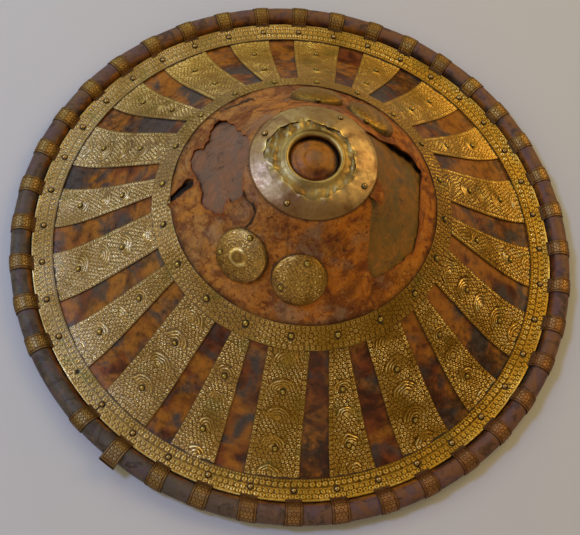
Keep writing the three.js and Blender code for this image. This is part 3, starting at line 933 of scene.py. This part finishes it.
def stripSheet(kind, number, unit):
    design = strips[kind]
    centre = design["azimuth"] + pairTurns[number - 1]
    seed = number * 7 + (0 if kind == "wide" else 3)
    shake = np.random.default_rng(seed)
    phase, lean = shake.uniform(-2, 2), shake.uniform(-0.03, 0.03)

    def place(u, v):
        inner, outer = layout["stripEnds"]
        arcIn, arcOut = alongFace(inner), alongFace(outer)
        arc = arcIn + v * (arcOut - arcIn)
        r = radiusAt(arc)
        width = widthAt(r, design["width"])
        across = (u - 0.5) * width
        azimuth = centre + np.degrees(np.arcsin(across / r))
        wobble = softNoise(across, arc, 14, seed) * 0.6 + softNoise(across, arc, 5, seed + 1) * 0.16
        wobble2 = softNoise(across, arc, 12, seed + 50) * 0.6 + softNoise(across, arc, 5, seed + 2) * 0.16
        s = across + wobble
        t = arc - alongFace(layout["innerBand"][1]) + wobble2
        total = alongFace(layout["outerBand"][0]) - alongFace(layout["innerBand"][1])
        fromEdge = width / 2 - np.abs(across) + wobble * 0.3
        fromEnd = np.minimum(t, total - t)
        shown = smoothStep(-1.0, 0.6, fromEnd)
        border = np.minimum(fromEdge, np.maximum(fromEnd, -2))
        onSide = fromEdge <= fromEnd
        inset, pitch, size, line = design["rings"]
        row = np.where(onSide, ringRow(t, fromEdge - inset, pitch, size, line),
                       ringRow(s, fromEnd - inset, pitch, size, line))
        relief = 0.25 * ridge(border - 0.5, 0.35) + 0.22 * ridge(border - inset * 2 + 0.1, 0.32)
        relief = np.maximum(relief, 0.75 * row)
        field = smoothStep(inset * 2 - 0.4, inset * 2 + 0.3, border)
        half = width / 2 - inset * 2
        outerRivet, innerRivet = (alongFace(at) - alongFace(layout["innerBand"][1]) for at in layout["stripRivets"])
        step = (outerRivet - innerRivet) / 2
        reach = np.minimum(half + 0.5, design["reach"])
        arcs, cover = crescents(t - innerRivet + phase, s + lean * t, step, reach, 2.4, 0.55)
        faint = np.clip(0.95 + 0.5 * softNoise(across, arc, 16, seed + 30), 0.4, 1)
        use = smoothStep(4.6, 5.8, half) * faint
        small = 0.80 * ridge(inRows(t + phase, s, 3.5) - 0.9, 0.40)
        pattern = np.maximum(0.95 * arcs * use, small * (1 - cover * use * 0.9))
        relief = np.maximum(relief, field * pattern)
        rubbed = 0.85 + 0.2 * softNoise(across, arc, 25, seed + 9) + 0.14 * softNoise(across, arc, 7, seed + 10)
        flatter = 1 - 0.4 * max(math.sin(math.radians(centre)), 0)
        relief = 1.15 * relief * shown * np.clip(rubbed, 0.35, 1.15)
        seat = dirtAndShadeRound(r, azimuth, [(at, centre) for at in layout["stripRivets"]], 2.9)
        relief = relief * (1 - seat)
        bulge = softNoise(across, arc, 45, seed + 20) * 0.12 * shown
        depth = layout["stripDepth"] - np.clip(bulge, -0.1, 0.25) + relief * (1 - flatter)
        # painted shade with dirt where the strip runs under a band, along its edges and round its rivets
        underBand = (1 - smoothStep(0.0, 1.6, fromEnd)) * 0.8
        dirtAndShade = np.maximum.reduce([seat * 0.4, edgeShade(fromEdge, 0.6) * 0.5, underBand])
        return r, azimuth, depth, relief, dirtAndShade

    piece = formedSheet(f"{kind}Strip{number}", unit, place, layout["sheet"])
    return finish(piece, stripBrass, [f"{kind}_strip_{number}"])


for kind, design in strips.items():
    unit = unitSheet("unitStrip", *design["cells"])
    for number in range(1, layout["pairCount"] + 1):
        stripSheet(kind, number, unit)
    bpy.data.objects.remove(unit)
print("brass strips made")

# Outer band in four pieces, slit from the edge to a rivet where they meet

outerBand = {
    "seams": [92.2, 128.2, 236.2, 308.2, 452.2], "cell": 0.55, "rows": 36, "slit": 0.32, "slitFrom": 221.5,
    # rows of rings: height, shift, pitch, distance from the outer edge, radius and width of the line
    "rings": [(0.72, 0.0, 4.6, 3.8, 1.25, 0.48), (0.62, 2.3, 4.6, 7.3, 1.05, 0.45), (0.72, 0.0, 5.2, 13.2, 1.3, 0.5)],
}


def outerBandSheet(number):
    start, end = outerBand["seams"][number - 1], outerBand["seams"][number]
    inner, outer = layout["outerBand"]
    columns = int(math.radians(end - start) * layout["outerRivets"] / outerBand["cell"] / 4) * 4
    unit = unitSheet("unitBand", columns, outerBand["rows"])
    seed = 70 + number

    def place(u, v):
        arcIn, arcOut = alongFace(inner), alongFace(outer)
        r = radiusAt(arcIn + v * (arcOut - arcIn))
        opened = smoothStep(outerBand["slitFrom"], outerBand["slitFrom"] + 2, r)
        slit = np.degrees(outerBand["slit"] / r) * (0.12 + 0.88 * opened)
        azimuth = start + slit + u * (end - start - 2 * slit)
        fromEnd = np.minimum(azimuth - start, end - azimuth) * np.radians(r)
        x, y = flat(r, azimuth).T
        wobble = softNoise(x, y, 15, seed) * 0.28
        arc = np.radians(azimuth) * layout["outerRivets"] + softNoise(x, y, 18, seed + 5) * 0.4
        out = outer - r + wobble * smoothStep(outer, outer - 3, r)
        relief = np.maximum(0.60 * dome(out - 0.9, 1.15), ringRows(arc, out, outerBand["rings"]))
        relief = np.maximum(relief, 0.42 * ridge(out - 9.5, 0.6) * (0.8 + 0.2 * np.sin(arc * np.pi)))
        relief = np.maximum(relief, 0.40 * beadRow(arc, out - 16.4, 2.5, 0.85))
        relief = relief * (0.88 + 0.2 * softNoise(x, y, 40, seed + 8))
        seat = dirtAndShadeRound(r, azimuth, outerRivets, 3.0)
        hole = dirtAndShadeRound(r, azimuth, [(layout["outerRivets"], clipAzimuths[layout["missingClip"]])], 2.0)
        relief = relief * (1 - seat) - hole * 0.6
        wave = softNoise(x, y, 70, 77) * 0.22
        depth = -np.clip(wave, -0.25, 0.4) * smoothStep(213.7, 219, r)
        # painted shade with dirt round the rivets, in the empty rivet hole and along the band's edges; dark joints at
        # the slits
        dirtAndShade = np.maximum.reduce([seat * 0.9, hole, edgeShade(fromEnd, 0.8) * (r > 222.5) * 0.9,
                                  edgeShade(r - inner, 0.6) * 0.55, edgeShade(outer - r, 0.3) * 0.3])
        return r, azimuth, depth, relief, dirtAndShade

    piece = formedSheet(f"outerBand{number}", unit, place, layout["sheet"])
    bpy.data.objects.remove(unit)
    return finish(piece, bandBrass, [f"outer_band_{number}"])


for number in range(1, 5):
    outerBandSheet(number)
print("outer band made")

# Inner band in two halves, its lower edge sprung up over a stretch near the viewer

innerBand = {
    "seams": [312.3, 492.3, 672.3], "cell": 0.55, "rows": 36, "sprung": (264.0, 312.3), "spring": 2.0,
    "rings": [(0.70, 0.0, 4.2, 2.6, 1.1, 0.45)],
}


def innerBandSheet(number):
    start, end = innerBand["seams"][number - 1], innerBand["seams"][number]
    inner, outer = layout["innerBand"]
    columns = int(math.radians(end - start) * layout["innerRivets"] / innerBand["cell"] / 4) * 4
    unit = unitSheet("unitBand", columns, innerBand["rows"])
    seed = 90 + number

    def place(u, v):
        arcIn, arcOut = alongFace(inner), alongFace(outer)
        along = arcIn + v * (arcOut - arcIn)
        r = radiusAt(along)
        slit = np.degrees(0.2 / r)
        azimuth = start + slit + u * (end - start - 2 * slit)
        x, y = flat(r, azimuth).T
        arc = np.radians(azimuth) * layout["innerRivets"] + softNoise(x, y, 15, seed) * 0.4
        width = arcOut - arcIn
        low = arcOut - along + softNoise(x, y, 12, seed + 4) * 0.2
        high = width - low
        middle = low - width / 2 + softNoise(x, y, 9, seed + 12) * 0.4
        relief = 0.40 * ridge(low - 0.6, 0.4) + 0.40 * ridge(high - 0.6, 0.4)
        for edge in (low, high):
            relief = np.maximum(relief, ringRows(arc, edge, innerBand["rings"]))
        lines = ridge(low - 4.8, 0.4) + ridge(high - 4.8, 0.4)
        relief = np.maximum(relief, 0.34 * lines * (0.8 + 0.2 * np.sin(arc * 3)))
        within = smoothStep(5.0, 5.6, np.minimum(low, high))
        relief = np.maximum(relief, 0.66 * ridge(inRows(arc, middle, 3.75) - 0.98, 0.42) * within)
        relief = relief * (0.88 + 0.2 * softNoise(x, y, 40, seed + 8))
        seat = dirtAndShadeRound(r, azimuth, innerRivets, 2.9)
        relief = relief * (1 - seat)
        az = np.mod(azimuth, 360)
        first, last = innerBand["sprung"]
        sprung = smoothStep(first, first + 8, az) * (1 - smoothStep(last - 0.1, last + 0.1, az))
        rise = sprung * smoothStep(118, 125.2, r) * innerBand["spring"]
        rise = rise * (0.75 + 0.25 * np.sin(az * 0.55))
        bulge = softNoise(x, y, 38, 97) * 0.15 + rise
        # painted shade with dirt round the rivets and along both edges
        dirtAndShade = np.maximum.reduce([seat * 0.85, edgeShade(low, 0.5) * 0.45, edgeShade(high, 0.5) * 0.4])
        return r, azimuth, -np.clip(bulge, -0.2, 3.0), relief, dirtAndShade

    piece = formedSheet(f"innerBand{number}", unit, place, layout["sheet"])
    bpy.data.objects.remove(unit)
    return finish(piece, stripBrass, [f"inner_band_{number}"])


for number in (1, 2):
    innerBandSheet(number)
print("inner band made")

# Clips folded over the rolled rim

clips = {"width": 15.0, "cells": (24, 56), "clearance": 0.25, "thickness": 0.6}


def clipPath(loose):
    radius = layout["beadRadius"] + clips["clearance"]
    edge = [(229.8, 9.75), (231.8, 10.3)]
    if loose:
        arc = beadArc(radius, 158, 90, 12)
        path = edge + arc + [(246.0, 17.0), (250.0, 16.3), (253.4, 15.2), (255.6, 14.2)]
    else:
        path = edge + beadArc(radius, 158, -14, 30)
    return np.array(pathThrough(path, 0.3))


def makeClip(number, unit):
    loose = number == layout["looseClip"]
    path = clipPath(loose)
    outward, arc = upwardNormals(path), lengthAlong(path)
    shake = np.random.default_rng(300 + number)
    lean, size, reach = shake.uniform(-0.05, 0.05), shake.uniform(0.93, 1.0), shake.uniform(0.9, 1.0)
    piece = pieceFrom("clip", unit.data.copy())
    points = readPoints(piece)
    u, v, top = points[:, 0], points[:, 1] + 0.5, points[:, 2] > 0.5
    along = v * arc[-1] * (1.0 if loose else reach)
    half = clips["width"] / 2 * size
    across = u * 2 * half
    base = np.stack([np.interp(along, arc, path[:, k]) for k in (0, 1)], axis=-1)
    normal = np.stack([np.interp(along, arc, outward[:, k]) for k in (0, 1)], axis=-1)
    fromEdge = np.minimum(half - np.abs(across), arc[-1] * reach - along)
    relief = 0.2 * ridge(fromEdge - 1.0, 0.45)
    wobble = softNoise(across, along, 9, 400 + number) * 0.4
    marks = ridge(inRows(along + shake.uniform(0, 3), across + wobble, 3.2) - 0.85, 0.45)
    relief = np.maximum(relief, 0.40 * marks * smoothStep(2.2, 2.8, fromEdge))
    relief = relief * smoothStep(1.5, 4.0, along)
    dent = softNoise(across, along, 14, 500 + number) * 0.15
    lift = np.where(top, relief + dent + clips["thickness"] * 0.5, -clips["thickness"] * 0.3 + dent)
    place = base + normal * lift[:, None]
    azimuth = np.radians(clipAzimuths[number]) + (across + lean * along) / layout["beadCentre"][0]
    points = np.stack([place[:, 0] * np.cos(azimuth), place[:, 0] * np.sin(azimuth), place[:, 1]], axis=-1)
    writePoints(piece, points * mm)
    writeValue(piece, "relief", np.where(top, np.clip(relief / 0.5, 0, 1), 0.0))
    # painted shade with dirt along the clip's edges and over its underside
    writeValue(piece, "dirtAndShade", np.where(top, edgeShade(fromEdge, 0.6) * 0.6, 0.9))
    return piece


def makeClips():
    unit = unitSheet("unitClip", *clips["cells"])
    made = [makeClip(k, unit) for k in range(layout["clipCount"]) if k != layout["missingClip"]]
    bpy.data.objects.remove(unit)
    piece = joined("rimClips", made)
    nodes = [f"outer_band_{k}" for k in range(1, 5)]
    return finish(piece, clipBrass, nodes)


makeClips()
print("rim clips made")

# Collar: a plain dished ring whose thin inner edge is torn and crumpled

collar = {
    "rows": 40, "columns": 300, "thickness": 0.6,
    # azimuth and radius along the torn inner edge, then radius and height of the dished sheet
    "edge": [(0, 31.0), (30, 30.0), (51, 30.2), (70, 29.6), (88, 28.9), (105, 32.2), (121, 32.4), (143, 35.6),
             (156, 36.6), (172, 37.9), (189, 38.6), (195, 37.2), (209, 31.4), (228, 30.6), (245, 30.7),
             (267, 34.4), (282, 34.9), (302, 33.2), (318, 31.4), (334, 32.8), (346, 33.4), (360, 31.0)],
    "dish": [(28, 154.9), (33, 154.3), (37, 153.5), (41, 152.3), (45, 150.7), (48.4, 149.0), (48.9, 148.6)],
}


def makeCollar():
    piece = gridNamed("collar", collar["columns"], collar["rows"])
    unit = readPoints(piece)
    u, v = unit[:, 0] + 0.5, unit[:, 1] + 0.5
    azimuth = u * 360
    inner = np.interp(azimuth, *np.array(collar["edge"], dtype=float).T)
    turn = np.radians(azimuth)
    inner = inner + 0.5 * np.sin(turn * 17 + 1) + 0.3 * np.sin(turn * 29 + 2.2) + 0.12 * np.sin(turn * 47)
    r = inner + (layout["collarEdge"] - inner) * v
    x, y = flat(r, azimuth).T
    height = np.interp(r, *np.array(collar["dish"], dtype=float).T)
    fromInner = r - inner
    crumple = np.exp(-fromInner / 2.6)
    curl = crumple * (0.35 + 0.55 * np.sin(turn * 11 + 0.7) + 0.4 * np.sin(turn * 23 + 2))
    curl = np.clip(curl * 0.7, -0.3, 0.7)
    dents = softNoise(x, y, 30, 120) * 0.22 + softNoise(x, y, 13, 121) * 0.08
    dents = dents * smoothStep(layout["collarEdge"], 46, r)
    points = np.stack([x, y, height + curl + dents - 0.15], axis=-1)
    writePoints(piece, points * mm)
    # painted shade with dirt round the rivets and along the outer edge
    dirtAndShade = np.maximum(dirtAndShadeRound(r, azimuth, collarRivets, 2.6) * 0.7, 0.4 * edgeShade(layout["collarEdge"] - r, 0.8))
    writeValue(piece, "dirtAndShade", dirtAndShade)
    # painted highlight along the torn inner edge
    bright = np.clip(0.5 + 0.8 * softNoise(x, y, 9, 123), 0, 1)
    writeValue(piece, "edgeHighlight", np.exp(-fromInner / 0.8) * bright)
    makeActive(piece)
    bpy.ops.object.mode_set(mode="EDIT")
    mendMesh(1e-6)
    thicken(piece, collar["thickness"])
    return finish(piece, collarBrass, ["collar"])


makeCollar()
print("collar made")

# Crown ring round the knob

crownRing = {
    "top": [(38.6, 152.3), (35.4, 153.3), (31, 153.8), (28.0, 153.5), (25.6, 153.6), (23.6, 154.6),
            (22.4, 155.5), (21.2, 155.8), (20.2, 155.4), (19.3, 154.2), (18.9, 152.6)],
    "under": [(19.6, 151.8), (26.2, 151.6), (38.4, 150.6)], "step": 0.7, "steps": 200,
}


def makeCrownRing():
    top = crownRing["top"]
    profile = pathThrough(top, crownRing["step"]) + crownRing["under"] + top[:1]
    piece = spunProfile("crownRing", profile, crownRing["steps"])
    points = readPoints(piece) / mm
    x, y, z = points.T
    r = np.hypot(x, y)
    upper = smoothStep(151.9, 152.4, z)
    flange = smoothStep(24.5, 28, r)
    rough = softNoise(x, y, 9, 131) * 0.34 + softNoise(x, y, 4.5, 132) * 0.26 - 0.2
    points[:, 2] += (rough * flange + softNoise(x, y, 18, 133) * 0.12 * (1 - flange)) * upper
    writePoints(piece, points * mm)
    # painted shade in the gap by the knob and under the collar's torn edge
    writeValue(piece, "dirtAndShade", np.maximum(0.5 * (1 - smoothStep(18.8, 19.8, r)), 0.35 * smoothStep(29, 35, r)))
    # painted highlight on the crumple crests and the lip
    crests = smoothStep(0.15, 0.5, rough) * flange * 0.7 + ridge(r - 20.9, 0.6) * 0.35
    writeValue(piece, "edgeHighlight", np.clip(crests * upper, 0, 1))
    return finish(piece, giltBrass, ["crown_ring"])


makeCrownRing()
print("crown ring made")

# Discs over the grip's fixings

discRivetSpots = []


def makeDisc(number):
    azimuth = discs["azimuths"][number - 1]
    rings, sides = discs["rings"], discs["sides"]
    radii = np.linspace(0, 1, rings + 1)[1:] * discs["radius"]
    rho = np.concatenate([[0], np.repeat(radii, sides)])
    phi = np.concatenate([[0], np.tile(np.arange(sides) * 2 * np.pi / sides, rings)])
    piece = meshFrom(f"disc{number}", [(0, 0, 0)] * len(rho), [], fanAndRings(rings, sides))

    seed = 150 + number
    x, y = rho * np.cos(phi), rho * np.sin(phi)
    radius = discs["radius"] + 0.12 * np.sin(phi * 7 + number) - 0.1
    share = rho / discs["radius"]
    x, y = x * radius / discs["radius"], y * radius / discs["radius"]
    shape = discs["rise"] * (1 - share**2.2) ** 0.6
    at = rho + softNoise(x, y, 8, seed) * 0.5
    away = x + 1.1 * softNoise(x, y, 6, seed + 2), y + 1.1 * softNoise(x, y, 6, seed + 3)
    relief = 0.54 * ridge(inRows(*away, 2.7), 0.80) * smoothStep(20.4, 19.6, at)
    if number == 1:
        relief = np.maximum(relief * smoothStep(7.6, 8.8, at), 0.8 * ridge(at - 6.4, 1.5)) + 0.3 * ridge(at, 2.0)
    relief = np.maximum(relief, 0.25 * ridge(at - 20.3, 0.5))
    relief = relief * np.clip(0.8 + 0.35 * softNoise(x, y, 9, seed + 4), 0.2, 1.2) * smoothStep(1.0, 0.96, share)
    if number > 2:
        relief = relief * discs["farShare"]
    dents = softNoise(x, y, 15, seed + 6) * 0.3 * smoothStep(1.0, 0.8, share)
    slope = float(np.interp(discs["centre"], faceR, faceSlope))
    heading = math.radians(azimuth)
    out = np.array([math.cos(heading), math.sin(heading), slope]) / math.hypot(slope, 1)
    side = np.array([-math.sin(heading), math.cos(heading), 0.0])
    direction = np.cross(out, side)
    centre = onFace(np.array([discs["centre"]]), np.array([azimuth]), layout["leatherDepth"] - 0.6)[0]
    skirt = discs["skirt"] * smoothStep(0.96, 1.0, share)
    height = shape + relief + dents - skirt
    points = centre + (x[:, None] * out + y[:, None] * side + height[:, None] * direction) * mm
    writePoints(piece, points)
    stationR = np.hypot(points[:, 0], points[:, 1]) / mm
    turn = np.degrees(np.arctan2(points[:, 1], points[:, 0])) % 360
    nearRivets = dirtAndShadeRound(stationR, turn, discRivets, 2.5) * 0.5
    for place in discRivets:
        gap = faceGap(stationR, turn, *place)
        if gap.min() < 2.5:
            discRivetSpots.append((points[gap.argmin()], direction))
    # painted shade with dirt round the rivets and along the disc's foot
    writeValue(piece, "relief", np.clip(0.10 + 1.3 * relief, 0, 1) * (1 - nearRivets))
    writeValue(piece, "dirtAndShade", np.maximum(nearRivets, smoothStep(0.955, 1.0, share) * 0.7))
    makeActive(piece)
    thicken(piece, discs["thickness"])
    return finish(piece, stripBrass, [f"disc_{number}"])


for number in (1, 2, 3, 4):
    makeDisc(number)
print("discs made")

# Rivets, each a small flattened dome

rivet = {"radius": 2.4, "height": 1.75, "sides": 12, "rings": 4, "foot": (0.97, -0.7)}


def rivetAt(position, normal, scale):
    sides, rings = rivet["sides"], rivet["rings"]
    bends = [i / rings * math.pi / 2 for i in range(1, rings + 1)]
    rows = [(rivet["radius"] * math.sin(bend), rivet["height"] * math.cos(bend)) for bend in bends]
    rows.append((rivet["radius"] * rivet["foot"][0], rivet["foot"][1]))
    turns = [2 * math.pi * j / sides for j in range(sides)]
    verts = [(0, 0, rivet["height"])]
    verts += [(rho * math.cos(turn), rho * math.sin(turn), z) for rho, z in rows for turn in turns]
    relief = [1.0] + [max(0.0, 1 - (i / rings) ** 2.2) for i in range(1, rings + 2) for _ in turns]
    faces = fanAndRings(rings + 1, sides)
    faces.append(tuple(1 + rings * sides + j for j in reversed(range(sides))))
    turned = Vector((0, 0, 1)).rotation_difference(Vector(normal)).to_matrix()
    placed = [(turned @ (Vector(p) * scale * mm) + Vector(position)) for p in verts]
    return placed, faces, relief


def facePlaces(places, lift, seed):
    # where rivets stand on the face, and which way they point
    shake = np.random.default_rng(seed)
    spots = []
    for r, azimuth in places:
        slope = float(np.interp(r, faceR, faceSlope))
        length = math.hypot(slope, 1)
        turn = math.radians(azimuth)
        normal = (-slope / length * math.cos(turn), -slope / length * math.sin(turn), 1 / length)
        normal = Vector(normal) + Vector(shake.normal(size=3) * 0.06)
        spot = onFace(np.array([r + shake.uniform(-0.5, 0.5)]), np.array([azimuth]), -lift)[0]
        spots.append((spot, normal.normalized()))
    return spots


def makeRivets(name, spots, material, seed):
    shake = np.random.default_rng(seed)
    verts, faces, relief = [], [], []
    for spot, normal in spots:
        placed, sides, heights = rivetAt(spot, normal, shake.uniform(0.92, 1.08))
        start = len(verts)
        verts += placed
        faces += [tuple(k + start for k in face) for face in sides]
        relief += heights
    piece = meshFrom(name, verts, [], faces)
    writeValue(piece, "relief", relief)
    return finish(piece, material)


makeRivets("outerBandRivets", facePlaces(outerRivets, 0.2, 201), rivetBrass, 211)
makeRivets("stripRivets", facePlaces(stripRivets, -0.8, 202), rivetGold, 212)
makeRivets("innerBandRivets", facePlaces(innerRivets, 0.2, 203), rivetGold, 213)
makeRivets("collarRivets", facePlaces(collarRivets, 0.0, 204), rivetBrass, 214)
makeRivets("discRivets", discRivetSpots, rivetGold, 215)
print("rivets made")

# Grip: a hide strap bowed across the inside

grip = {
    "azimuth": 79.5, "width": 30.0, "thickness": 4.0,
    "line": [(106.8, 77.8), (83.0, 98.2), (77.0, 100.4), (60.0, 99.2), (30.0, 96.4), (0.0, 95.6)],
}


def makeGrip():
    half = grip["line"]
    line = half + [(-a, z) for a, z in reversed(half[:-1])]
    path = np.array(pathThrough(line, 3.0))
    normal = upwardNormals(path)
    piece = gridNamed("grip", len(path) - 1, 10)
    unit = readPoints(piece)
    index = np.clip(np.round((unit[:, 0] + 0.5) * (len(path) - 1)).astype(int), 0, len(path) - 1)
    across = unit[:, 1] * grip["width"] * (1 - 0.10 * np.exp(-(path[index, 0] / 40) ** 2))
    crown = 0.5 * (1 - (unit[:, 1] * 2) ** 2)
    middle = path[index] - normal[index] * (grip["thickness"] / 2 + crown[:, None] * 0.5)
    heading = math.radians(grip["azimuth"])
    along = np.array([math.cos(heading), math.sin(heading)])
    side = np.array([-along[1], along[0]])
    plan = middle[:, :1] * along + across[:, None] * side
    writePoints(piece, np.column_stack([plan, middle[:, 1]]) * mm)
    makeActive(piece)
    thicken(piece, grip["thickness"] - 0.4, 0)
    soft = piece.modifiers.new("softEdge", "BEVEL")
    soft.width = 0.9 * mm
    soft.segments = 2
    soft.limit_method = "ANGLE"
    soft.angle_limit = math.radians(50)
    bpy.ops.object.modifier_apply(modifier="softEdge")
    return finish(piece, gripLeather, ["grip"])


makeGrip()
print("grip made")

# Floor, lights and camera

stage = {"floor": "#c4bfc8", "warmer": "#c9c1c0", "size": 6.0}


def makeFloor():
    clearSelection()
    bpy.ops.mesh.primitive_plane_add(size=stage["size"], location=(0, 0, 0))
    floor = bpy.context.object
    floor.name = "floor"
    # matt paper with a faint warmer cloud
    material, add, place = startMaterial("PaleMattPaper")
    clouds = add("TexNoise", dict(zip(noiseSockets, (place, 1 / 0.4, 3.0, 0.6))))
    colour = layered(add, stage["floor"], [(clouds, 0.3, 0.7, 0.25, stage["warmer"])])
    surface = add("BsdfPrincipled", {"Base Color": colour, "Roughness": 0.9})
    add("OutputMaterial", {"Surface": surface})
    floor.data.materials.append(material)


makeFloor()

lights = {
    "window": {"place": (-1.05, 0.0, 1.45), "size": 0.32, "power": 13.5, "colour": "#9cbcff"},
    "left": {"place": (-1.7, -0.3, 0.8), "size": 0.9, "power": 4.2, "colour": "#ffffb7"},
    "front": {"place": (0.3, -1.7, 0.9), "size": 1.4, "power": 4.0, "colour": "#ffffe7"},
    "backRight": {"place": (1.1, 1.2, 1.3), "size": 1.3, "power": 14.0, "colour": "#ffe192"},
    "backLeft": {"place": (-1.0, 1.3, 1.2), "size": 1.3, "power": 7.0, "colour": "#e0ffee"},
}
for name, light in lights.items():
    data = bpy.data.lights.new(name, "AREA")
    data.energy = light["power"]
    data.size = light["size"]
    data.color = linear(light["colour"])[:3]
    lamp = bpy.data.objects.new(name, data)
    lamp.location = light["place"]
    lamp.rotation_euler = (-Vector(light["place"])).to_track_quat("-Z", "Y").to_euler()
    scene.collection.objects.link(lamp)

room = {"colour": "#ffecac", "strength": 0.30}
world = bpy.data.worlds.new("softRoom")
world.use_nodes = True
background = world.node_tree.nodes["Background"]
background.inputs["Color"].default_value = linear(room["colour"])
background.inputs["Strength"].default_value = room["strength"]
scene.world = world
scene.view_settings.view_transform = "Standard"

view = {"place": (0.0003, -0.340, 0.7412), "elevation": 67.04, "roll": 12.91, "lens": 55.86}


def makeCamera():
    data = bpy.data.cameras.new("camera")
    data.lens = view["lens"]
    data.sensor_width = 36
    data.sensor_fit = "HORIZONTAL"
    camera = bpy.data.objects.new("camera", data)
    lift, roll = math.radians(view["elevation"]), math.radians(view["roll"])
    forward = Vector((0, math.cos(lift), -math.sin(lift)))
    up = Vector((0, math.sin(lift), math.cos(lift)))
    right = Vector((1, 0, 0))
    x = right * math.cos(roll) + up * math.sin(roll)
    y = up * math.cos(roll) - right * math.sin(roll)
    turn = Matrix((x, y, -forward)).transposed().to_4x4()
    camera.matrix_world = Matrix.Translation(view["place"]) @ turn
    scene.collection.objects.link(camera)
    scene.camera = camera


makeCamera()
print("stage, lights and camera made")
